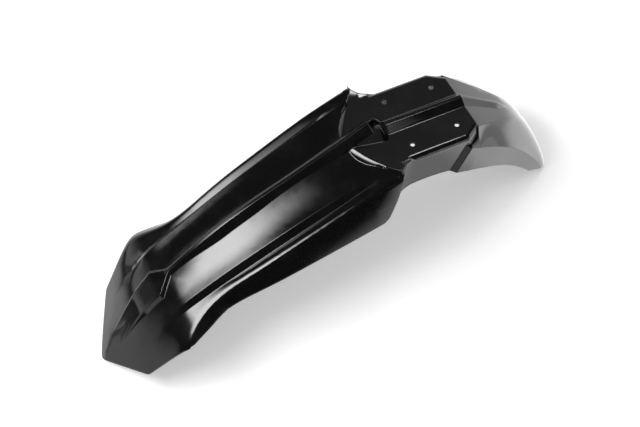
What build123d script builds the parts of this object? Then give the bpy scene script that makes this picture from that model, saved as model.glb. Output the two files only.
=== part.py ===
"""Front mudguard of an off-road motorcycle: one thin moulding, open underneath.

Frame: X runs forward to the nose, Y to the left, Z up along the fixing bolts. The shape is drawn about the
centre of the mounting plate's top face, and is moved at the end so that the origin lies on that face midway
between the two front bolt holes. Millimetres and degrees.

The front section is one loft of thin closed sections along its centre line. The mounting plate, its side walls,
the rear section and the rib are drawn twice as filled bodies, at the outer surface and a wall further in, and
the difference is a skin of even thickness. The spine and the plateau are raised on the front in the same way.
"""
from build123d import *
import os
from math import cos, degrees, hypot, radians, sin, sqrt

os.makedirs("parts", exist_ok=True)

# Wall and mounting plate
wall = 2.4
bolt_pitch = 77.0            # front pair to rear pair, along X
front_bolt_span = 94.0       # left hole to right hole
rear_bolt_span = 84.0
bolt_hole = 7.0
plate_half_width = 73.0
plate_edge_round = 10.0
plate_side_front = 45.0      # the plate's straight side ends here
plate_rear = -67.0
plate_rear_half = 57.0
plate_chamfer_front = -45.0  # where the rear corner's chamfer starts
wall_depth = 100.0           # the side walls are drawn this deep, then trimmed
middle_front = 150.0         # the plate's body is drawn this far forward, then trimmed

# Lean of the side walls, as millimetres outwards or forwards per millimetre of depth
side_lean = 0.05
corner_lean = 0.1
fork_lean_forward = 0.15
flare_lean_forward = 0.405
flare_lean_out = 0.107

# Swept-back front edge of the plate, the step down to the panels, the ears and their sloping facets
prong_tip = (124.5, 14.0)
band_middle = (110.0, 45.0)
band_end = (90.5, 71.0)
ear = (75.5, 90.5)
step_profile = ((-4.5, 0), (2.7, -3.5), (7, -9))  # (ahead of the front edge, height): band, then wall
step_rear = 55.0             # the step's body starts here, under the plate
panel_gap = 3.5              # the panels start this far ahead of the front edge, at the step's wall
ear_lap = 2.0                # the plate's corners reach this far under the panels
facet_rear = (46.0, 73.8)
facet_front = (89.0, 73.0)
facet_rise = 4.0
facet_ramp = 27.0            # slope of the facet's rear end
flare_ahead = 3.0            # end of the wall ahead of the fork leg, from the ear
flare_out = 5.8

# Recess between the two prongs of the plate, under the tail of the spine
recess_front = 131.0
recess_rear = 67.0
recess_front_half = 11.5
recess_rear_half = 24.0
recess_depth = 10.0
recess_height = 12.0         # headroom over the plate, under the spine

# Centre line of the front section: a long shallow arc, the bend above the nose, the straight nose
guide_start = (75.0, 6.5)
start_slope = 18.0
front_radius = 1750.0
front_length = 385.0
bend_radius = 210.0
nose_slope = 54.8
front_stations = (-50, 0, 60, 130, 200, 270, 320, 345, 370, 395, 420, 455, 500, 540, 580, 615)

# Section of the front, as (distance along the centre line, value) pairs
crown_height = ((0, 12.5), (300, 12.5), (345, 9.5), (388, 5.5), (420, 2.5), (470, 1.0), (620, 0))
crest_half = ((-50, 74), (16, 72.6), (120, 69.6), (250, 65.3), (330, 61.5), (459, 59), (620, 52))
crest_height = ((388, 0), (420, -3.5), (459, -7.5), (515, -6))
panel_sag = ((300, 4.7), (400, 1.5), (440, 0), (515, -0.8))
crest_step_run = 8.3
crest_step_drop = ((0, 0.8), (20, 1.0), (150, 8.5), (362, 8.5), (411, 5), (459, 1.3))
fold_half = ((40, 98.5), (178, 94.5), (250, 91), (315, 86), (335, 85), (370, 92), (416, 109), (459, 106), (620, 98))
fold_height = ((0, -3), (40, -4), (178, -8.5), (370, -9.5), (416, -11), (459, -14.5), (620, -13))
fold_round = 8.0
skirt_flare = ((0, 9), (178, 18), (250, 24), (315, 32), (370, 38), (416, 38), (620, 40))
skirt_depth = ((0, 92), (250, 88), (315, 72), (370, 42), (416, 27), (459, 8))

# Spine and the arrow-shaped plateau it opens into, by distance along the centre line
spine_top_half = 2.4
spine_flank = 11.0
split = 386.0                # where the spine opens
spine_heights = ((8, 25.4), (45, 21), (95, 17.5), (200, 17.5), (290, 17.5), (338, 13.3), (split, 9.2))
arrow = split + 25.0         # widest place of the plateau
arrow_half = 22.5
plateau_flank = 8.0
plateau_heights = ((split - 4, 9.4), (arrow, 5.6), (arrow + 39, 4.2), (arrow + 119, -0.6))
plateau_halves = ((split - 4, spine_top_half), (arrow, arrow_half), (arrow + 39, 19.5), (arrow + 119, 14))

# Outer edges in side view: skirts, waist, wings, and the arch over the wheel
skirt_corner = (113.0, -80.0)
rake_top = 8.0               # the skirt's rear edge is drawn from this height
rake_below = 6.0
rake_bulge = 5.0
waist = (369.0, -153.0)
wing_tip = (440.6, -183.0)
nose_underside = ((458, -208), (505, -272), (600, -380))
arch = ((80, -59), (33, -52), (-60, -70), (-118, -101), (-154, -137))
rear_lip = ((-154, -137), (-182, -147), (-260, -165))

# Wings and pointed nose, as (distance along the trim slope, half width)
trim_slope = 46.0
wing_waist = (366.0, 97.0)
wing_half = 118.4
wing_reach = 437.0
corner_half = 88.8
corner_reach = 533.0
tip_reach = 599.0
edge_round = 12.0

# Rear section: wraps down about a cross axis, as (angle about the axis, value) pairs
rear_axis = (15.4, -205.0)
rear_radius = 220.0
rear_start = 112.0
rear_end = 172.0
rear_stations = (rear_start, 122, 132, 142, 152, 162, rear_end)
rear_fill = 95.0             # depth of the filled sections under the outer surface
rear_top = ((rear_start, 0), (126, -5), (142, 2), (154, 5), (rear_end, 1))
rear_crease_half = ((rear_start, 58), (120, 46.5), (128, 37.5), (142, 25), (152, 20), (rear_end, 18))
rear_shoulder_half = ((rear_start, 80), (125, 78), (139, 75), (150, 74), (160, 72), (rear_end, 70))
rear_shoulder_depth = ((rear_start, 24), (139, 21.5), (150, 20), (160, 17))
rear_bulge = ((142, 0.5), (152, 0.66), (162, 0.85))
rear_foot_flare = ((rear_start, 6), (150, 4), (rear_end, 2))

# Slanted face behind the fork leg, where the wall steps out
fork_face_slope = 121.8
fork_step = 8.0
fork_shoulder = ((22, 4), (11, 9), (0, 14))  # (in from the side, down from the top)
fork_top = 3.0
fork_foot_flare = 4.0

# Rib along the plate, running out over the rear section
rib_front = 62.0
rib_height = 11.0
rib_rear_height = 8.5
rib_top_half = 4.4
rib_rear_top_half = 2.9
rib_base_half = 13.5
rib_skirt = 4.0              # the rib's body reaches this far under the plate
rib_end_angle = 150.0        # about the rear cross axis
rib_end_half = 8.0
rib_end_top_half = 1.5
rib_end_height = (4.6, 2.5)  # top and foot, over the rear radius
rib_middle_top_half = 2.2
rib_middle_height = (2.5, -4.0)

# Bodies used for trimming reach this far past the part
beyond = 300.0


def between(s, knots):
    """Value at s on straight runs through the (place, value) knots."""
    if s <= knots[0][0]:
        return knots[0][1]
    for (a, va), (b, vb) in zip(knots, knots[1:]):
        if s <= b:
            return va + (vb - va) * (s - a) / (b - a)
    return knots[-1][1]


def inset_path(points, amount, lengthen=0.0):
    """Half section from the centre line outwards, moved inwards by amount with mitred corners."""
    if amount == 0:
        return list(points)
    normals = []
    for (y0, n0), (y1, n1) in zip(points, points[1:]):
        run = hypot(y1 - y0, n1 - n0)
        normals.append(((n1 - n0) / run, -(y1 - y0) / run))
    before = [(-normals[0][0], normals[0][1])] + normals
    after = normals + [normals[-1]]
    moved = []
    for (y, n), a, b in zip(points, before, after):
        k = amount / (1 + a[0] * b[0] + a[1] * b[1])
        moved.append((y + k * (a[0] + b[0]), n + k * (a[1] + b[1])))
    last = normals[-1]
    moved[-1] = (moved[-1][0] - lengthen * last[1], moved[-1][1] + lengthen * last[0])
    return moved


def arc_step(start, slope, radius, length):
    """End point and slope of an arc that starts at start, heading forward and down."""
    a = radians(slope)
    b = a + length / radius
    x = start[0] + radius * (sin(b) - sin(a))
    z = start[1] + radius * (cos(b) - cos(a))
    return (x, z), degrees(b)


def guide_plane(s):
    """Section plane across the front section at distance s: local x is Y, local y is the outward normal."""
    point, slope = arc_step(guide_start, start_slope, front_radius, min(s, front_length))
    if s > front_length:
        bend_length = bend_radius * radians(nose_slope - slope)
        point, slope = arc_step(point, slope, bend_radius, min(s - front_length, bend_length))
        rest = max(0.0, s - front_length - bend_length)
        point = (point[0] + rest * cos(radians(slope)), point[1] - rest * sin(radians(slope)))
    heading = (cos(radians(slope)), 0, -sin(radians(slope)))
    return Plane(origin=(point[0], 0, point[1]), x_dir=(0, 1, 0), z_dir=heading)


def rear_plane(angle, origin=rear_axis):
    """Section plane through a cross axis: local x is Y, local y points away from the axis."""
    outward = (cos(radians(angle)), 0, sin(radians(angle)))
    heading = (outward[2], 0, -outward[0])
    return Plane(origin=(origin[0], 0, origin[1]), x_dir=(0, 1, 0), z_dir=heading)


def chain(points):
    """Straight edges through points."""
    return [Edge.make_line(a, b) for a, b in zip(points, points[1:])]


def closed_wire(plane, half):
    """Mirror a half polygon about the centre line and close it."""
    points = [(-y, n) for y, n in reversed(half)] + list(half)
    points = [p for i, p in enumerate(points) if i == 0 or p != points[i - 1]]
    return Wire.make_polygon([plane.from_local_coords((y, n, 0)) for y, n in points], close=True)


def front_path(s):
    """Half section of the front section: hollow panel, crest with a step, flat band, fold, skirt."""
    crown = between(s, crown_height)
    crest = (between(s, crest_half), between(s, crest_height))
    hollow = (crest[0] / 2, (crown + crest[1]) / 2 - 2 * between(s, panel_sag))
    foot = (crest[0] + crest_step_run, crest[1] - between(s, crest_step_drop))
    fold = (between(s, fold_half), between(s, fold_height))
    skirt = (fold[0] + between(s, skirt_flare), fold[1] - between(s, skirt_depth))
    return [(0, crown), hollow, crest, foot, fold, skirt]


def half_section(plane, path, sign):
    """Edges of one half of a front section, from the centre line to the skirt's end."""
    top, hollow, crest, foot, fold, skirt = [plane.from_local_coords((sign * y, n, 0)) for y, n in path]
    into = fold + (foot - fold).normalized() * fold_round
    out = fold + (skirt - fold).normalized() * fold_round
    return [Edge.make_bezier(top, hollow, crest), Edge.make_line(crest, foot), Edge.make_line(foot, into),
            Edge.make_bezier(into, fold, out), Edge.make_line(out, skirt)]


def front_wire(s):
    """Closed thin section of the front section: its outer path and the same path a wall further in."""
    plane = guide_plane(s)
    outside = front_path(s)
    inside = inset_path(outside, wall)
    rims = []
    for sign in (1, -1):
        ends = [plane.from_local_coords((sign * y, n, 0)) for y, n in (outside[-1], inside[-1])]
        rims.append(Edge.make_line(*ends))
    return Wire(half_section(plane, outside, 1) + [rims[0]] + half_section(plane, inside, 1)[::-1]
                + half_section(plane, inside, -1) + [rims[1]] + half_section(plane, outside, -1)[::-1])


def front_skin():
    """Panels, skirts, wings and nose as a skin of even thickness."""
    return Solid.make_loft([front_wire(s) for s in front_stations])


def above_front():
    """Everything above the middle of the front section's wall, near the mounting plate."""
    wires = []
    for s in front_stations[:4]:
        plane = guide_plane(s)
        path = inset_path(front_path(s), wall / 2)
        side, low = path[-1]
        far, high = side + 30, 60
        corners = [(side, low), (far, low), (far, high), (-far, high), (-far, low), (-side, low)]
        frame = chain([plane.from_local_coords((y, n, 0)) for y, n in corners])
        wires.append(Wire(half_section(plane, path, 1) + frame + half_section(plane, path, -1)[::-1]))
    return Solid.make_loft(wires)


def ridge_wire(plane, top_half, top, flank, inset):
    """Trapezium with 45 degree flanks, its top at the given height."""
    half = [(0, top), (top_half, top), (top_half + flank, top - flank)]
    return closed_wire(plane, inset_path(half, inset, lengthen=4 if inset else 0)[1:])


def spine_body(inset):
    """Raised centre line, climbing to a hood over the recess."""
    heights = list(spine_heights)
    if inset:
        heights[0] = (heights[0][0] - wall, heights[0][1] + 0.3)
    return Solid.make_loft([ridge_wire(guide_plane(s), spine_top_half, n, spine_flank, inset)
                            for s, n in heights])


def plateau_body(inset):
    """Arrow-shaped plateau on the nose, sinking into it towards the tip."""
    return Solid.make_loft([ridge_wire(guide_plane(s), half, n, plateau_flank, inset)
                            for (s, n), (_, half) in zip(plateau_heights, plateau_halves)], ruled=True)


def plan_region(shift, ear_shift, far_x):
    """Everything between the plate's front edge, moved forward by the shifts, and the cross line at far_x."""
    tip = (prong_tip[0] + shift, prong_tip[1])
    middle = (band_middle[0] + shift, band_middle[1])
    end = (band_end[0] + shift, band_end[1])
    inner = (band_end[0] + ear_shift, band_end[1])
    corner = (ear[0] + ear_shift, ear[1])
    outer = (corner[0], beyond / 2)

    def half(sign):
        def at(p):
            return (p[0], sign * p[1], 0)
        return chain([at((far_x, 0)), at((far_x, outer[1])), at(outer), at(corner), at(inner), at(end)]) + [
            Edge.make_three_point_arc(at(end), at(middle), at(tip)),
            Edge.make_line(at(tip), at((tip[0], 0)))]
    return Face(Wire(half(1) + half(-1)))


def upright(face, low, high):
    """Solid on a plan face between two heights."""
    return extrude(Pos(0, 0, low) * face, high - low, dir=(0, 0, 1))


def side_prism(edges):
    """Solid across the whole width on an outline in the XZ plane."""
    return extrude(Face(Wire(edges)), beyond, dir=(0, 1, 0), both=True)


def xz(*points):
    """Points of the side view."""
    return [(x, 0, z) for x, z in points]


def behind_skirts():
    """Everything behind the raked rear edge of the skirts."""
    top = (ear[0], rake_top)
    bottom = (skirt_corner[0], skirt_corner[1] - rake_below)
    middle = ((top[0] + bottom[0]) / 2 - rake_bulge, (top[1] + bottom[1]) / 2)
    edge = Edge.make_three_point_arc(*xz(top, middle, bottom))
    around = xz(bottom, (bottom[0], -beyond), (-beyond, -beyond), (-beyond, beyond), (top[0], beyond), top)
    return side_prism([edge] + chain(around))


def middle_outline(z, inset):
    """Plan outline of the middle at a height: plate sides, hollowed towards the skirts for the fork legs."""
    half = plate_half_width - side_lean * z
    fork = (plate_side_front - fork_lean_forward * z, half - inset)
    run = ear[0] + flare_ahead - flare_lean_forward * z - fork[0]
    rise = ear[1] + flare_out - flare_lean_out * z - half
    radius = (run ** 2 + rise ** 2) / (2 * rise)
    if inset:
        radius = radius + inset
        rise = rise + inset + 0.8
        run = sqrt(2 * radius * rise - rise ** 2)
    flare = (fork[0] + run, fork[1] + rise)
    rear = plate_rear + inset
    corner = (rear, plate_rear_half - corner_lean * z - inset)
    front = middle_front + 2 * inset

    def side(sign):
        def at(p):
            return (p[0], sign * p[1], z)
        straight = chain([at((rear, 0)), at(corner), at((plate_chamfer_front, fork[1])), at(fork)])
        hollow = Edge.make_tangent_arc(at(fork), (1, 0, 0), at(flare))
        return straight + [hollow] + chain([at(flare), at((front, flare[1])), at((front, 0))])
    return Wire(side(1) + side(-1))


def middle_body(inset):
    """Mounting plate with rounded rims and the side walls below it, filled underneath."""
    low, top = -wall_depth - inset, -inset
    block = Solid.make_loft([middle_outline(low, inset), middle_outline(top, inset)], ruled=True)
    rims = [e for e in block.edges().filter_by_position(Axis.Z, top, top)
            if abs((e @ 0.5).Y) > plate_half_width / 2 and (e @ 0.5).X < band_end[0]]
    if inset:
        return block.chamfer(0.45 * plate_edge_round, None, rims)
    return block.fillet(plate_edge_round, rims)


def ear_body(inset):
    """Sloping facets at the plate's front corners, which climb to the rear ends of the front section."""
    low, high, side_inset = -14, 12, inset + 0.3
    block = Solid.make_loft([middle_outline(low, side_inset), middle_outline(high, side_inset)], ruled=True)
    start, end, peak = Vector(*facet_rear, 0), Vector(*facet_front, 0), Vector(*ear, facet_rise)
    facet = Plane(origin=start, x_dir=end - start, z_dir=(end - start).cross(peak - start))
    length, width, deep = (end - start).length, 60, 20
    below_facet = facet * Pos(length / 2, width / 3, -deep / 2 - inset) * Box(length + 25, width, deep)
    ramp = Plane(origin=start + (end - start) * 0.2, x_dir=(cos(radians(facet_ramp)), 0, sin(radians(facet_ramp))),
                 z_dir=(-sin(radians(facet_ramp)), 0, cos(radians(facet_ramp))))
    below_ramp = ramp * Pos(0, 0, -beyond / 2 - inset) * Box(beyond, beyond, beyond)
    left = block & below_facet & below_ramp
    return left + left.mirror(Plane.XZ)


def step_body(inset):
    """Sloping band along the plate's front edge and the steeper wall below it."""
    def outline(shift, z):
        tip = (prong_tip[0] + shift, prong_tip[1])
        middle = (band_middle[0] + shift, band_middle[1])
        end = (band_end[0] + shift, band_end[1] + 8 * inset)

        def side(sign):
            def at(p):
                return (p[0], sign * p[1], z)
            return chain([at((step_rear, 0)), at((step_rear, end[1])), at(end)]) + [
                Edge.make_three_point_arc(at(end), at(middle), at(tip)),
                Edge.make_line(at(tip), at((tip[0], 0)))]
        return Wire(side(1) + side(-1))
    path = inset_path([(step_rear - prong_tip[0], 0)] + list(step_profile), inset, lengthen=3 if inset else 0)
    return Solid.make_loft([outline(shift, z) for shift, z in reversed(path[1:])], ruled=True)


def rear_section(plane, half, inset):
    """Closed section of the rear: flat top, curved shoulder, side wall, flat base."""
    path = inset_path(half, inset, lengthen=6 if inset else 0)

    def side(sign):
        top, crease, bulge, shoulder, foot = [plane.from_local_coords((sign * y, n, 0)) for y, n in path]
        return [Edge.make_line(top, crease), Edge.make_bezier(crease, bulge, shoulder),
                Edge.make_line(shoulder, foot)]
    left, right = side(1), side(-1)
    return Wire(left + [Edge.make_line(left[-1] @ 1, right[-1] @ 1)] + right[::-1])


def rear_wire(angle, inset):
    """Section across the wrapped part: the flat top narrows and the shoulders round out towards the end."""
    top = rear_radius + between(angle, rear_top)
    crease = (between(angle, rear_crease_half), top - 1)
    shoulder = (between(angle, rear_shoulder_half), rear_radius - between(angle, rear_shoulder_depth))
    bulge = between(angle, rear_bulge)
    round_out = (crease[0] + bulge * (shoulder[0] - crease[0]), shoulder[1] + bulge * (crease[1] - shoulder[1]))
    foot = (shoulder[0] + between(angle, rear_foot_flare), rear_radius - rear_fill)
    return rear_section(rear_plane(angle), [(0, top), crease, round_out, shoulder, foot], inset)


def fork_wire(back, side, inset):
    """Section along the slanted face behind the fork leg, moved back square to that face."""
    slope = radians(fork_face_slope)
    start = (plate_chamfer_front - rear_radius * cos(slope) - back * sin(slope),
             -rear_radius * sin(slope) + back * cos(slope))
    shoulder = [(side - into, rear_radius - down) for into, down in fork_shoulder]
    half = [(0, rear_radius - fork_top)] + shoulder + [(side + fork_foot_flare, rear_radius - rear_fill)]
    return rear_section(rear_plane(fork_face_slope, start), half, inset)


def rear_body(inset):
    """Rear section: steps out behind the fork leg, then wraps down about its cross axis."""
    shift = 0.4 * inset
    level = fork_wire(shift, plate_half_width, inset)
    stepped = fork_wire(fork_step + shift, plate_half_width + fork_step, inset)
    wrapped = [rear_wire(angle, inset) for angle in rear_stations]
    return Solid.make_loft([level, stepped, wrapped[0]], ruled=True) + Solid.make_loft(wrapped)


def rib_body(inset):
    """Rib along the plate, closed at its front end and running out over the rear section."""
    def wire(plane, top_half, base_half, top, base):
        half = [(0, top), (top_half, top), (base_half, base), (base_half + rib_skirt, base - rib_skirt)]
        return closed_wire(plane, inset_path(half, inset)[1:])

    def cross(x):
        return Plane(origin=(x, 0, 0), x_dir=(0, 1, 0), z_dir=(1, 0, 0))

    def over_rear(heights):
        return [rear_radius + height for height in heights]
    front = wire(cross(rib_front - inset), rib_top_half, rib_base_half, rib_height, 0)
    rear = wire(cross(plate_rear), rib_rear_top_half, rib_base_half, rib_rear_height, 0)
    middle = wire(rear_plane((rear_start + rib_end_angle) / 2), rib_middle_top_half,
                  (rib_base_half + rib_end_half) / 2, *over_rear(rib_middle_height))
    run_out = wire(rear_plane(rib_end_angle), rib_end_top_half, rib_end_half, *over_rear(rib_end_height))
    return Solid.make_loft([rear, front], ruled=True) + Solid.make_loft([rear, middle, run_out], ruled=True)


def lower_edge_cut():
    """Everything below the lower edge as the side view shows it."""
    over_wheel = Edge.make_spline([Vector(x, 0, z) for x, z in (skirt_corner,) + arch])
    low = -1.4 * beyond
    bottom = [(rear_lip[-1][0], low), (nose_underside[-1][0], low)]
    ahead = list(reversed(nose_underside)) + [wing_tip, waist, skirt_corner]
    return side_prism([over_wheel] + chain(xz(*rear_lip, *bottom, *ahead)))


def nose_outline():
    """Everything within the wings and the pointed nose, square to the trim slope."""
    slope = radians(trim_slope)
    plane = Plane(origin=(0, 0, 0), x_dir=(cos(slope), 0, -sin(slope)), z_dir=(sin(slope), 0, cos(slope)))
    half = [(tip_reach, 0), (corner_reach, corner_half), (wing_reach, wing_half), wing_waist,
            (beyond, beyond / 2), (-beyond, beyond / 2)]
    points = half + [(t, -y) for t, y in reversed(half[1:])]
    sheet = make_face(Polyline(*points, close=True))
    corners = [v for v in sheet.vertices() if v.X > (wing_waist[0] + wing_reach) / 2]
    return extrude(plane * fillet(corners, edge_round), 2 * beyond, both=True)


def recess_outline(grow):
    """Plan of the recess between the prongs, grown by grow on every side."""
    bend = (prong_tip[0] - 6, recess_front_half + 1)
    half = [(recess_front, recess_front_half), bend, (recess_rear, recess_rear_half),
            (rib_front + 0.5, rib_base_half)]
    face = make_face(Polyline(*half, *[(x, -y) for x, y in reversed(half)], close=True))
    return offset(face, grow, kind=Kind.INTERSECTION) if grow else face


front = (front_skin() & nose_outline()) - lower_edge_cut()
front = front - upright(plan_region(panel_gap, 0, -beyond), -beyond, beyond) - behind_skirts()

hull = middle_body(0) + ear_body(0) + rear_body(0) + rib_body(0)
hull = hull - (middle_body(wall) + ear_body(wall) + rear_body(wall) + rib_body(wall))
hull = hull + upright(recess_outline(wall), -recess_depth - wall, -wall / 4)
hull = hull - (upright(plan_region(step_profile[0][0], ear_lap, beyond), -60, 60) & above_front())
hull = hull - lower_edge_cut()

step = step_body(0) - step_body(wall)
skin = front + hull + step - upright(recess_outline(0), -recess_depth, recess_height)
skin = skin + spine_body(0) + plateau_body(0)
skin = skin - spine_body(wall) - plateau_body(wall)
for x, span in ((bolt_pitch / 2, front_bolt_span), (-bolt_pitch / 2, rear_bolt_span)):
    for y in (span / 2, -span / 2):
        skin = skin - Pos(x, y, 0) * Cylinder(bolt_hole / 2, 6 * wall)

mudguard = Pos(-bolt_pitch / 2, 0, 0) * skin
export_step(mudguard, "parts/front_mudguard.step")
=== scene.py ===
"""Gloss black front mudguard of an off-road motorcycle, lying on a white studio table.

The moulding is one piece. Its solid is copied, merged, settled a little and smoothed, and dressed in a gloss
plastic with the fine waviness and faint rubs that a moulded part shows. The table, the lamps and the camera
follow the photograph. Lengths are in metres, in the part's own frame.
"""

import logging
import math
from dataclasses import dataclass
from enum import Enum
from typing import Any

import bpy
from mathutils import Matrix, Vector

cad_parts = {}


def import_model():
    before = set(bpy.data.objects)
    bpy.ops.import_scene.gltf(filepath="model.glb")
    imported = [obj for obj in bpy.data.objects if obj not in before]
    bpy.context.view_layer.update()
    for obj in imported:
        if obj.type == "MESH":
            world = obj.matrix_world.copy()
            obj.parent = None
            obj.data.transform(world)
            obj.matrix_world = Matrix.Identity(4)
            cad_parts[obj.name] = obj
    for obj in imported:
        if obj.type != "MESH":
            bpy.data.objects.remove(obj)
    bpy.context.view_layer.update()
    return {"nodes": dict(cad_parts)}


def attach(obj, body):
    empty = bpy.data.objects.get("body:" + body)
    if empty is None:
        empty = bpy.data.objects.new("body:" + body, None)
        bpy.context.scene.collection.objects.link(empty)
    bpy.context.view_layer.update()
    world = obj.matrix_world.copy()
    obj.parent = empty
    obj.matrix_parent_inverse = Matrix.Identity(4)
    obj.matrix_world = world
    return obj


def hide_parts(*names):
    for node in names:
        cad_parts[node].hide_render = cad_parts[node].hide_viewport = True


LOG = logging.getLogger("mudguard")

Colour = tuple[float, float, float, float]
Point = tuple[float, float, float]
Span = tuple[float, float]
Knots = tuple[Span, ...]
Tree = bpy.types.NodeTree
Value = bpy.types.NodeSocket

WHITE: Colour = (1.0, 1.0, 1.0, 1.0)
# A share goes from nought to one, and a turned share from one to nought.
SHARE: Span = (0.0, 1.0)
TURNED_SHARE: Span = (1.0, 0.0)
# The table leans in the part's frame, because the moulding lies on its nose tip and its rear corners.
TABLE_UP: Point = (0.1992, 0.0, 0.98)


class Node(Enum):
    """Solids of the part."""

    SHELL = "front_mudguard"


class Body(Enum):
    """Bodies that pieces ride on."""

    ROOT = "root"


class Slot(Enum):
    """Material slots of the record."""

    SHELL = "shell"


class RayKind(Enum):
    """Kinds of ray that the table and the surroundings tell apart."""

    CAMERA = "Is Camera Ray"
    GLOSSY = "Is Glossy Ray"
    TRANSMISSION = "Is Transmission Ray"


class Join(Enum):
    """Ways of joining values, as the Math node names them."""

    PRODUCT = "MULTIPLY"
    TOTAL = "ADD"
    LARGEST = "MAXIMUM"


class LampAxis(Enum):
    """Directions on a lamp's face."""

    ACROSS = "X"
    ALONG = "Y"


class WaveInput(Enum):
    """Scales that the waviness takes."""

    RIPPLE = "Ripple Scale"
    GRAIN = "Grain Scale"
    RUB = "Rub Scale"


class WaveOutput(Enum):
    """What the waviness puts out."""

    HEIGHT = "Height"
    RUB = "Rub"


def between(place: float, knots: Knots) -> float:
    """Value at a place on straight runs through knots.

    Args:
        place: Where the value is wanted.
        knots: Pairs of place and value.

    Returns:
        The value.
    """
    if place <= knots[0][0]:
        return knots[0][1]
    for (start, first), (end, second) in zip(knots, knots[1:]):
        if place <= end:
            return first + (second - first) * (place - start) / (end - start)
    return knots[-1][1]


def ramp(place: float, span: Span) -> float:
    """Share from nought at the span's first place to one at its second.

    Args:
        place: Where the share is wanted.
        span: The two places, in either order.

    Returns:
        The share.
    """
    return min(1.0, max(0.0, (place - span[0]) / (span[1] - span[0])))


def deselect() -> None:
    """Leave nothing selected."""
    bpy.ops.object.select_all(action="DESELECT")


def activate(piece: bpy.types.Object) -> None:
    """Select one object alone and make it the active one.

    Args:
        piece: The object that the next operators act on.
    """
    deselect()
    piece.select_set(True)
    bpy.context.view_layer.objects.active = piece


def fade(tree: Tree, value: Value, span: Span, ends: Span = SHARE, smooth: bool = False) -> Value:
    """Value that goes from one end to the other while another value crosses a span.

    Args:
        tree: The node tree that gets the node.
        value: The value that crosses the span.
        span: Where the result is at its first and its second end, in either order.
        ends: The result's two ends.
        smooth: Whether the result eases in and out.

    Returns:
        The result.
    """
    node = tree.nodes.new("ShaderNodeMapRange")
    if smooth:
        node.interpolation_type = "SMOOTHSTEP"
    node.inputs["From Min"].default_value = span[0]
    node.inputs["From Max"].default_value = span[1]
    node.inputs["To Min"].default_value = ends[0]
    node.inputs["To Max"].default_value = ends[1]
    tree.links.new(value, node.inputs["Value"])
    return node.outputs["Result"]


def combine(tree: Tree, join: Join, first: Value, *others: Value | float) -> Value:
    """Join values, one after another.

    Args:
        tree: The node tree that gets the nodes.
        join: How each value is joined to the ones before it.
        first: A value in the tree.
        others: More values in the tree, or numbers.

    Returns:
        The result.
    """
    result = first
    for other in others:
        node = tree.nodes.new("ShaderNodeMath")
        node.operation = join.value
        tree.links.new(result, node.inputs[0])
        if isinstance(other, float):
            node.inputs[1].default_value = other
        else:
            tree.links.new(other, node.inputs[1])
        result = node.outputs["Value"]
    return result


def blend(tree: Tree, share: Value, first: Colour, second: Colour) -> Value:
    """Mix two colours.

    Args:
        tree: The node tree that gets the node.
        share: The second colour's share.
        first: The colour where the share is nought.
        second: The colour where the share is one.

    Returns:
        The mixed colour.
    """
    node = tree.nodes.new("ShaderNodeMix")
    node.data_type = "RGBA"
    node.inputs["A"].default_value = first
    node.inputs["B"].default_value = second
    tree.links.new(share, node.inputs["Factor"])
    return node.outputs["Result"]


@dataclass(frozen=True)
class MouldedWaviness:
    """Node group for the slight unevenness of a moulded gloss surface."""

    name: str = "moulded_waviness"
    ripple_detail: float = 1.0
    grain_detail: float = 2.0
    grain_share: float = 0.12
    rub_detail: float = 6.0
    rub_roughness: float = 0.62
    rub_edge: Span = (0.48, 0.72)

    def group(self) -> Tree:
        """Build the group once.

        Returns:
            The node group, with a scale for each kind of unevenness.
        """
        if self.name in bpy.data.node_groups:
            return bpy.data.node_groups[self.name]
        tree = bpy.data.node_groups.new(self.name, "ShaderNodeTree")
        for way, labels in (("INPUT", WaveInput), ("OUTPUT", WaveOutput)):
            for label in labels:
                tree.interface.new_socket(label.value, in_out=way, socket_type="NodeSocketFloat")
        inputs = tree.nodes.new("NodeGroupInput")
        outputs = tree.nodes.new("NodeGroupOutput")
        place = tree.nodes.new("ShaderNodeTexCoord")
        noises: dict[WaveInput, bpy.types.Node] = {}
        details = (self.ripple_detail, self.grain_detail, self.rub_detail)
        for label, detail in zip(WaveInput, details):
            noise = tree.nodes.new("ShaderNodeTexNoise")
            noise.inputs["Detail"].default_value = detail
            tree.links.new(place.outputs["Object"], noise.inputs["Vector"])
            tree.links.new(inputs.outputs[label.value], noise.inputs["Scale"])
            noises[label] = noise
        noises[WaveInput.RUB].inputs["Roughness"].default_value = self.rub_roughness
        grain = combine(tree, Join.PRODUCT, noises[WaveInput.GRAIN].outputs["Fac"], self.grain_share)
        height = combine(tree, Join.TOTAL, grain, noises[WaveInput.RIPPLE].outputs["Fac"])
        rub = fade(tree, noises[WaveInput.RUB].outputs["Fac"], self.rub_edge)
        tree.links.new(height, outputs.inputs[WaveOutput.HEIGHT.value])
        tree.links.new(rub, outputs.inputs[WaveOutput.RUB.value])
        return tree


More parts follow.
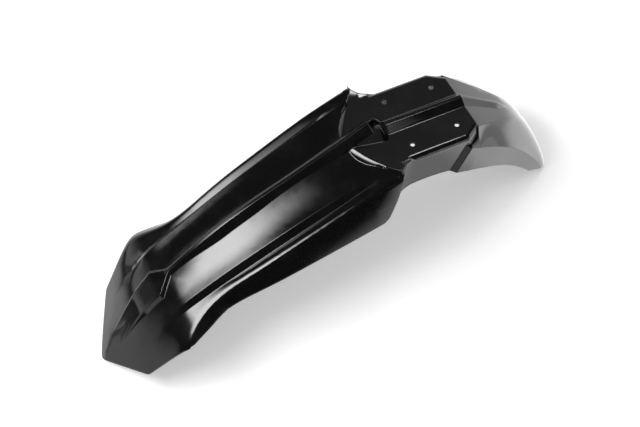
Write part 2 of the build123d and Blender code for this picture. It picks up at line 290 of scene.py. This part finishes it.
@dataclass(frozen=True)
class GlossPlastic:
    """Black gloss plastic: deep colour, tight reflections, slight waviness, rubs and softened edges."""

    name: str
    colour: Colour = (0.004, 0.004, 0.0042, 1.0)
    worn_colour: Colour = (0.009, 0.009, 0.0094, 1.0)
    roughness: float = 0.1
    worn_roughness: float = 0.16
    ripple_scale: float = 45.0
    grain_scale: float = 1100.0
    rub_scale: float = 16.0
    wave_depth: float = 0.00003
    wave_strength: float = 0.35
    edge_radius: float = 0.0024
    edge_samples: int = 8
    ior: float = 1.5
    specular_level: float = 1.0

    def material(self) -> bpy.types.Material:
        """Build the finish.

        Returns:
            The material.
        """
        material = bpy.data.materials.new(self.name)
        material.use_nodes = True
        tree = material.node_tree
        nodes, links = tree.nodes, tree.links
        shader = nodes["Principled BSDF"]
        shader.inputs["IOR"].default_value = self.ior
        shader.inputs["Specular IOR Level"].default_value = self.specular_level
        surface = nodes.new("ShaderNodeGroup")
        surface.node_tree = MouldedWaviness().group()
        for label, scale in zip(WaveInput, (self.ripple_scale, self.grain_scale, self.rub_scale)):
            surface.inputs[label.value].default_value = scale
        rub = surface.outputs[WaveOutput.RUB.value]
        gloss = fade(tree, rub, SHARE, (self.roughness, self.worn_roughness))
        links.new(blend(tree, rub, self.colour, self.worn_colour), shader.inputs["Base Color"])
        links.new(gloss, shader.inputs["Roughness"])
        edges = nodes.new("ShaderNodeBevel")
        edges.samples = self.edge_samples
        edges.inputs["Radius"].default_value = self.edge_radius
        bump = nodes.new("ShaderNodeBump")
        bump.inputs["Strength"].default_value = self.wave_strength
        bump.inputs["Distance"].default_value = self.wave_depth
        links.new(surface.outputs[WaveOutput.HEIGHT.value], bump.inputs["Height"])
        links.new(edges.outputs["Normal"], bump.inputs["Normal"])
        links.new(bump.outputs["Normal"], shader.inputs["Normal"])
        return material


@dataclass(frozen=True)
class TableWhite:
    """White table top that keeps the shadow.

    In reflections it is painted dark a little way off on the near side and ahead, as though it ended there,
    and a painted glow makes it brighter behind the moulding.
    """

    name: str = "table_white"
    colour: Colour = (0.93, 0.93, 0.93, 1.0)
    # Colour of the painted dark reflection: glossy rays see it past the lines where the table seems to end.
    dark: Colour = (0.02, 0.02, 0.02, 1.0)
    roughness: float = 0.9
    specular_level: float = 0.0
    lift: float = 0.35
    far_lift: float = 0.62
    far_from: Span = (0.9, 2.4)
    near_end: Span = (0.24, 0.29)
    slant: float = 2.0
    slant_end: Span = (0.24, 0.36)
    front_end: Span = (0.7, 1.3)
    rear_lift: float = 1.1
    rear_from: Span = (-0.11, -0.17)
    rear_to: Span = (-0.8, -0.5)
    rear_side: Span = (-0.17, -0.05)

    def material(self) -> bpy.types.Material:
        """Build the finish.

        Returns:
            The material.
        """
        material = bpy.data.materials.new(self.name)
        material.use_nodes = True
        tree = material.node_tree
        nodes, links = tree.nodes, tree.links
        shader = nodes["Principled BSDF"]
        shader.inputs["Roughness"].default_value = self.roughness
        shader.inputs["Specular IOR Level"].default_value = self.specular_level
        shader.inputs["Emission Color"].default_value = WHITE
        path = nodes.new("ShaderNodeLightPath")
        place = nodes.new("ShaderNodeTexCoord").outputs["Object"]
        axes = nodes.new("ShaderNodeSeparateXYZ")
        links.new(place, axes.inputs["Vector"])
        x, y = axes.outputs["X"], axes.outputs["Y"]
        glossy = path.outputs[RayKind.GLOSSY.value]
        # Painted dark reflection: for glossy rays the table turns dark and stops glowing past its seeming
        # end.
        painted_dark_reflection = combine(tree, Join.PRODUCT, self.end(tree, x, y), glossy)
        links.new(blend(tree, painted_dark_reflection, self.colour, self.dark), shader.inputs["Base Color"])
        seen = combine(tree, Join.LARGEST, *(path.outputs[kind.value] for kind in RayKind))
        clear_of_dark_reflection = fade(tree, painted_dark_reflection, TURNED_SHARE)
        plain = combine(tree, Join.PRODUCT, seen, self.glow(tree, place), clear_of_dark_reflection)
        rear = combine(tree, Join.PRODUCT, self.rear_glow(tree, x, y), glossy)
        links.new(combine(tree, Join.TOTAL, plain, rear), shader.inputs["Emission Strength"])
        self.clear_below(material, path)
        return material

    def end(self, tree: Tree, x: Value, y: Value) -> Value:
        """Where the table is painted dark in reflections, on the near side and ahead, as though it ended
        there.

        Args:
            tree: The material's node tree.
            x: Place along the part.
            y: Place across the part.

        Returns:
            One where the dark reflection is painted, nought on the plain table.
        """
        slanted = combine(tree, Join.TOTAL, combine(tree, Join.PRODUCT, x, self.slant), y)
        past_slant = fade(tree, slanted, self.slant_end)
        near = combine(tree, Join.PRODUCT, fade(tree, y, self.near_end), past_slant)
        return combine(tree, Join.LARGEST, near, fade(tree, x, self.front_end))

    def glow(self, tree: Tree, place: Value) -> Value:
        """Glow that keeps the table white, stronger far from the moulding.

        Args:
            tree: The material's node tree.
            place: Place on the table.

        Returns:
            The glow.
        """
        away = tree.nodes.new("ShaderNodeVectorMath")
        away.operation = "LENGTH"
        tree.links.new(place, away.inputs[0])
        return fade(tree, away.outputs["Value"], self.far_from, (self.lift, self.far_lift))

    def rear_glow(self, tree: Tree, x: Value, y: Value) -> Value:
        """Further glow behind the moulding that only reflections show.

        Args:
            tree: The material's node tree.
            x: Place along the part.
            y: Place across the part.

        Returns:
            The glow.
        """
        rear = combine(tree, Join.PRODUCT, fade(tree, x, self.rear_from), fade(tree, x, self.rear_to))
        return combine(tree, Join.PRODUCT, rear, fade(tree, y, self.rear_side), self.rear_lift)

    def clear_below(self, material: bpy.types.Material, path: bpy.types.Node) -> None:
        """Let the camera look up through the table top from below, so that the underside can be seen.

        Args:
            material: The table's material.
            path: Its Light Path node.
        """
        tree = material.node_tree
        nodes, links = tree.nodes, tree.links
        side = nodes.new("ShaderNodeNewGeometry")
        camera = path.outputs[RayKind.CAMERA.value]
        from_below = combine(tree, Join.PRODUCT, side.outputs["Backfacing"], camera)
        clear = nodes.new("ShaderNodeBsdfTransparent")
        choice = nodes.new("ShaderNodeMixShader")
        links.new(from_below, choice.inputs["Fac"])
        links.new(nodes["Principled BSDF"].outputs["BSDF"], choice.inputs[1])
        links.new(clear.outputs["BSDF"], choice.inputs[2])
        links.new(choice.outputs["Shader"], nodes["Material Output"].inputs["Surface"])


@dataclass
class Mudguard:
    """The moulding: a merged and smoothed copy of the solid, with its shallow slopes settled.

    The lines of the crest and the fold are pairs of places along and across the part.
    """

    name: str = "mudguard_shell"
    merge_distance: float = 1e-5
    crease_angle: float = math.radians(24.0)
    crest_line: Knots = ((0.052, 0.0726), (0.149, 0.0696), (0.269, 0.0653), (0.34, 0.0615))
    fold_line: Knots = ((0.074, 0.0985), (0.204, 0.0945), (0.269, 0.091), (0.327, 0.086))
    spine_foot: float = 0.014
    step_run: float = 0.0083
    gutter_depth: float = 0.0025
    fold_rise: float = 0.0015
    fold_fade: float = 0.012
    panel_lift: float = 0.001
    gutter_rear: Span = (0.06, 0.12)
    gutter_front: Span = (0.36, 0.3)
    band_along: Span = (0.04, 0.092)
    band_heights: Span = (-0.0042, 0.0003)
    band_tilt: Span = (0.84, 0.94)
    band_head: float = -0.0005
    band_shift: float = 0.0011

    def build(self, nodes: dict[str, bpy.types.Object]) -> bpy.types.Object:
        """Copy the solid, merge its triangles and shade it smooth between its creases.

        Args:
            nodes: The part's solids by name.

        Returns:
            The finished piece.
        """
        source = nodes[Node.SHELL.value]
        shell = source.copy()
        shell.data = source.data.copy()
        shell.name = self.name
        shell.parent = None
        bpy.context.scene.collection.objects.link(shell)
        activate(shell)
        bpy.ops.object.mode_set(mode="EDIT")
        bpy.ops.mesh.select_all(action="SELECT")
        bpy.ops.mesh.remove_doubles(threshold=self.merge_distance)
        bpy.ops.mesh.customdata_custom_splitnormals_clear()
        bpy.ops.object.mode_set(mode="OBJECT")
        self.settle_panels(shell)
        self.steepen_band(shell)
        bpy.ops.object.shade_smooth_by_angle(angle=self.crease_angle)
        return shell

    def settle_panels(self, shell: bpy.types.Object) -> None:
        """Sink the gutters beside the crests a little, raise the folds and flatten the hollow panels.

        Args:
            shell: The copied and merged solid.
        """
        for vertex in shell.data.vertices:
            x, y = vertex.co.x, abs(vertex.co.y)
            vertex.co.z += self.settling(x, y) * ramp(x, self.gutter_rear) * ramp(x, self.gutter_front)

    def settling(self, x: float, y: float) -> float:
        """How far a place on the panels settles.

        Args:
            x: Place along the part.
            y: Distance from the centre plane.

        Returns:
            The rise.
        """
        crest = between(x, self.crest_line)
        fold = between(x, self.fold_line)
        foot = crest + self.step_run
        if y <= crest:
            part = max(0.0, (y - self.spine_foot) / (crest - self.spine_foot))
            # The curve is nought at the spine's foot and the crest, and one midway.
            return self.panel_lift * 4.0 * part * (1.0 - part)
        if y <= foot:
            return -self.gutter_depth * (y - crest) / self.step_run
        if y <= fold:
            return self.fold_rise - (self.fold_rise + self.gutter_depth) * (fold - y) / (fold - foot)
        return self.fold_rise * max(0.0, 1.0 - (y - fold) / self.fold_fade)

    def steepen_band(self, shell: bpy.types.Object) -> None:
        """Bring the head of the sloping band at the plate's front forward, so that the band is steeper.

        Args:
            shell: The copied and merged solid.
        """
        vertices = shell.data.vertices
        heads: dict[int, Vector] = {}
        for face in shell.data.polygons:
            if not self.on_band(face):
                continue
            for index in face.vertices:
                if vertices[index].co.z > self.band_head:
                    heads[index] = heads.get(index, Vector()) + face.normal * face.area
        for index, lean in heads.items():
            vertices[index].co += Vector((lean.x, lean.y, 0.0)).normalized() * self.band_shift
        LOG.info("plate band: %d points settled", len(heads))

    def on_band(self, face: bpy.types.MeshPolygon) -> bool:
        """Tell whether a face is part of the sloping band.

        Args:
            face: A face of the moulding.

        Returns:
            Whether its place and its tilt are the band's.
        """
        readings = (face.center.x, face.center.z, face.normal.z)
        spans = (self.band_along, self.band_heights, self.band_tilt)
        return all(low < reading < high for reading, (low, high) in zip(readings, spans))

    def dress(self, shell: bpy.types.Object) -> None:
        """Give the moulding its finish, put it on the root body and hide the solid that it was copied from.

        Args:
            shell: The finished piece.
        """
        shell.data.materials.clear()
        shell.data.materials.append(GlossPlastic("gloss_black_plastic").material())
        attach(shell, Body.ROOT.value)
        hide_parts(Node.SHELL.value)


@dataclass
class Table:
    """White table top on which the moulding rests on its nose tip and its two rear corners."""

    name: str = "table_top"
    up: Point = TABLE_UP
    size: float = 30.0

    def build(self, piece: bpy.types.Object) -> bpy.types.Object:
        """Lay the table under the piece.

        Args:
            piece: The piece that lies on the table.

        Returns:
            The table top.
        """
        up = Vector(self.up).normalized()
        height = min(up.dot(vertex.co) for vertex in piece.data.vertices)
        deselect()
        bpy.ops.mesh.primitive_plane_add(size=self.size)
        table = bpy.context.object
        table.name = self.name
        turn = up.to_track_quat("Z", "Y").to_matrix().to_4x4()
        table.data.transform(Matrix.Translation(up * height) @ turn)
        table.data.materials.append(TableWhite().material())
        return table


@dataclass(frozen=True)
class SoftBox:
    """Rectangular studio lamp, placed by the direction and distance from the point that it is aimed at.

    Each fade names a direction on the lamp's face, the share of the face at which the lamp is dark, and the
    share at which it has its full level.
    """

    name: str
    aim: Point
    direction: Point
    along: Point
    distance: float
    width: float
    length: float
    level: float
    fades: tuple[tuple[LampAxis, Span], ...] = (
        (LampAxis.ACROSS, (0.0, 0.3)),
        (LampAxis.ACROSS, (1.0, 0.7)),
        (LampAxis.ALONG, (0.0, 0.3)),
        (LampAxis.ALONG, (1.0, 0.7)),
    )

    def build(self) -> bpy.types.Object:
        """Hang the lamp so that the middle of its face shows the wanted level in a mirror.

        Returns:
            The lamp.
        """
        away = Vector(self.direction).normalized()
        across = Vector(self.along).cross(away).normalized()
        axes = Matrix((across, away.cross(across), away)).transposed().to_4x4()
        place = Vector(self.aim) + away * self.distance
        deselect()
        bpy.ops.object.light_add(type="AREA")
        lamp = bpy.context.object
        lamp.name = self.name
        lamp.data.shape = "RECTANGLE"
        lamp.data.size = self.width
        lamp.data.size_y = self.length
        lamp.data.energy = self.level * math.pi * self.width * self.length
        lamp.matrix_world = Matrix.Translation(place) @ axes
        self.soften(lamp)
        return lamp

    def soften(self, lamp: bpy.types.Object) -> None:
        """Fade the lamp's face towards its edges, as a cloth front does.

        Args:
            lamp: The lamp.
        """
        lamp.data.use_nodes = True
        tree = lamp.data.node_tree
        face = tree.nodes.new("ShaderNodeNewGeometry")
        axes = tree.nodes.new("ShaderNodeSeparateXYZ")
        tree.links.new(face.outputs["Parametric"], axes.inputs["Vector"])
        shares = (fade(tree, axes.outputs[axis.value], span, smooth=True) for axis, span in self.fades)
        level = combine(tree, Join.PRODUCT, *shares)
        tree.links.new(level, tree.nodes["Emission"].inputs["Strength"])


@dataclass
class Studio:
    """Soft studio light: plain surroundings and soft boxes.

    In reflections the surroundings are dark above, pale low down except ahead on the near side, and paler
    behind. Their spans are parts of a direction: its rise from the table, or its share along or across the
    part.
    """

    up: Point = TABLE_UP
    surroundings: float = 0.45
    background: float = 1.0
    mirrored_dark: float = 0.02
    mirrored_horizon: float = 0.63
    mirrored_behind: float = 0.95
    horizon_rise: Span = (0.35, 0.1)
    near_side: Span = (0.6, 0.92)
    front_side: Span = (-0.25, 0.05)
    behind_side: Span = (-0.2, -0.4)
    behind_rise: Span = (0.46, 0.34)
    key_direction: Point = (0.605, -0.328, 0.726)
    key_along: Point = (0.031, 0.9565, 0.289)
    key_distance: float = 2.6

    def lamps(self) -> tuple[SoftBox, ...]:
        """The soft boxes.

        Returns:
            The key box with a weaker spill beside it, a small box behind and a dim fill on the far side.
        """
        key_box = SoftBox(
            name="key_box",
            aim=(0.3757, 0.4486, -0.0489),
            direction=self.key_direction,
            along=self.key_along,
            distance=self.key_distance,
            width=1.144,
            length=3.159,
            level=8.0,
            fades=(
                (LampAxis.ACROSS, (0.0, 0.404)),
                (LampAxis.ACROSS, (1.0, 0.625)),
                (LampAxis.ALONG, (0.0, 0.385)),
                (LampAxis.ALONG, (1.0, 0.852)),
            ),
        )
        key_spill = SoftBox(
            name="key_spill",
            aim=(-0.031, 0.2095, 0.1819),
            direction=self.key_direction,
            along=self.key_along,
            distance=self.key_distance,
            width=0.77,
            length=1.638,
            level=3.0,
            fades=(
                (LampAxis.ACROSS, (0.0, 0.586)),
                (LampAxis.ACROSS, (1.0, 0.586)),
                (LampAxis.ALONG, (0.0, 0.5)),
                (LampAxis.ALONG, (1.0, 0.5)),
            ),
        )
        rear_box = SoftBox(
            name="rear_box",
            aim=(0.035, -0.076, 0.0),
            direction=(-0.29, -0.21, 0.934),
            along=(0.0, 1.0, 0.0),
            distance=2.5,
            width=0.6,
            length=0.6,
            level=10.0,
        )
        far_fill = SoftBox(
            name="far_fill",
            aim=(0.0, 0.0, 0.0),
            direction=(-0.305, -0.576, 0.758),
            along=(0.0, 0.0, 1.0),
            distance=2.6,
            width=2.2,
            length=2.2,
            level=0.09,
        )
        return key_box, key_spill, rear_box, far_fill

    def horizon(self, tree: Tree) -> Value:
        """Level of the surroundings in reflections.

        Args:
            tree: The world's node tree.

        Returns:
            The level.
        """
        direction = tree.nodes.new("ShaderNodeTexCoord").outputs["Generated"]
        upward = tree.nodes.new("ShaderNodeVectorMath")
        upward.operation = "DOT_PRODUCT"
        upward.inputs[1].default_value = self.up
        axes = tree.nodes.new("ShaderNodeSeparateXYZ")
        tree.links.new(direction, upward.inputs[0])
        tree.links.new(direction, axes.inputs["Vector"])
        x, y, rise = axes.outputs["X"], axes.outputs["Y"], upward.outputs["Value"]
        shut = combine(tree, Join.PRODUCT, fade(tree, y, self.near_side), fade(tree, x, self.front_side))
        pale = combine(tree, Join.PRODUCT, fade(tree, shut, TURNED_SHARE),
                       fade(tree, rise, self.horizon_rise), self.mirrored_horizon)
        behind = combine(tree, Join.PRODUCT, fade(tree, x, self.behind_side),
                         fade(tree, rise, self.behind_rise), self.mirrored_behind)
        return combine(tree, Join.TOTAL, pale, behind, self.mirrored_dark)

    def world(self) -> None:
        """Set the surroundings."""
        world = bpy.data.worlds.new("studio")
        bpy.context.scene.world = world
        world.use_nodes = True
        tree = world.node_tree
        back = tree.nodes["Background"]
        back.inputs["Color"].default_value = WHITE
        path = tree.nodes.new("ShaderNodeLightPath")
        mirrored = tree.nodes.new("ShaderNodeMix")
        mirrored.inputs["A"].default_value = self.surroundings
        seen = tree.nodes.new("ShaderNodeMix")
        seen.inputs["B"].default_value = self.background
        tree.links.new(path.outputs[RayKind.GLOSSY.value], mirrored.inputs["Factor"])
        tree.links.new(self.horizon(tree), mirrored.inputs["B"])
        tree.links.new(path.outputs[RayKind.CAMERA.value], seen.inputs["Factor"])
        tree.links.new(mirrored.outputs["Result"], seen.inputs["A"])
        tree.links.new(seen.outputs["Result"], back.inputs["Strength"])

    def build(self) -> None:
        """Set the surroundings and hang the lamps."""
        self.world()
        for lamp in self.lamps():
            lamp.build()
            LOG.info("lamp hung: %s", lamp.name)


@dataclass
class PhotoCamera:
    """Camera at the photograph's viewing angle."""

    name: str = "photo_camera"
    place: Point = (0.82569, 1.56644, 2.04858)
    right: Point = (-0.90384, 0.42741, -0.01996)
    down: Point = (0.34814, 0.70748, -0.61503)
    focal_pixels: float = 1800.0
    image_width: float = 640.0
    sensor_width: float = 36.0
    reach: float = 50.0

    def build(self) -> bpy.types.Object:
        """Set the camera up and make it the scene's.

        Returns:
            The camera.
        """
        right, down = Vector(self.right), Vector(self.down)
        ahead = right.cross(down)
        axes = Matrix((right, -down, -ahead)).transposed().to_4x4()
        deselect()
        bpy.ops.object.camera_add()
        camera = bpy.context.object
        camera.name = self.name
        camera.matrix_world = Matrix.Translation(Vector(self.place)) @ axes
        camera.data.sensor_fit = "HORIZONTAL"
        camera.data.sensor_width = self.sensor_width
        camera.data.lens = self.focal_pixels * self.sensor_width / self.image_width
        camera.data.clip_end = self.reach
        bpy.context.scene.camera = camera
        return camera


def main() -> None:
    """Build the scene in order: moulding, table, lamps, camera."""
    logging.basicConfig(level=logging.INFO)
    bpy.context.scene.view_settings.view_transform = "Standard"
    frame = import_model()
    guard = Mudguard()
    shell = guard.build(frame["nodes"])
    guard.dress(shell)
    LOG.info("shell: %d faces", len(shell.data.polygons))
    Table().build(shell)
    LOG.info("table laid")
    Studio().build()
    PhotoCamera().build()
    LOG.info("camera set")


if __name__ == "__main__":
    main()
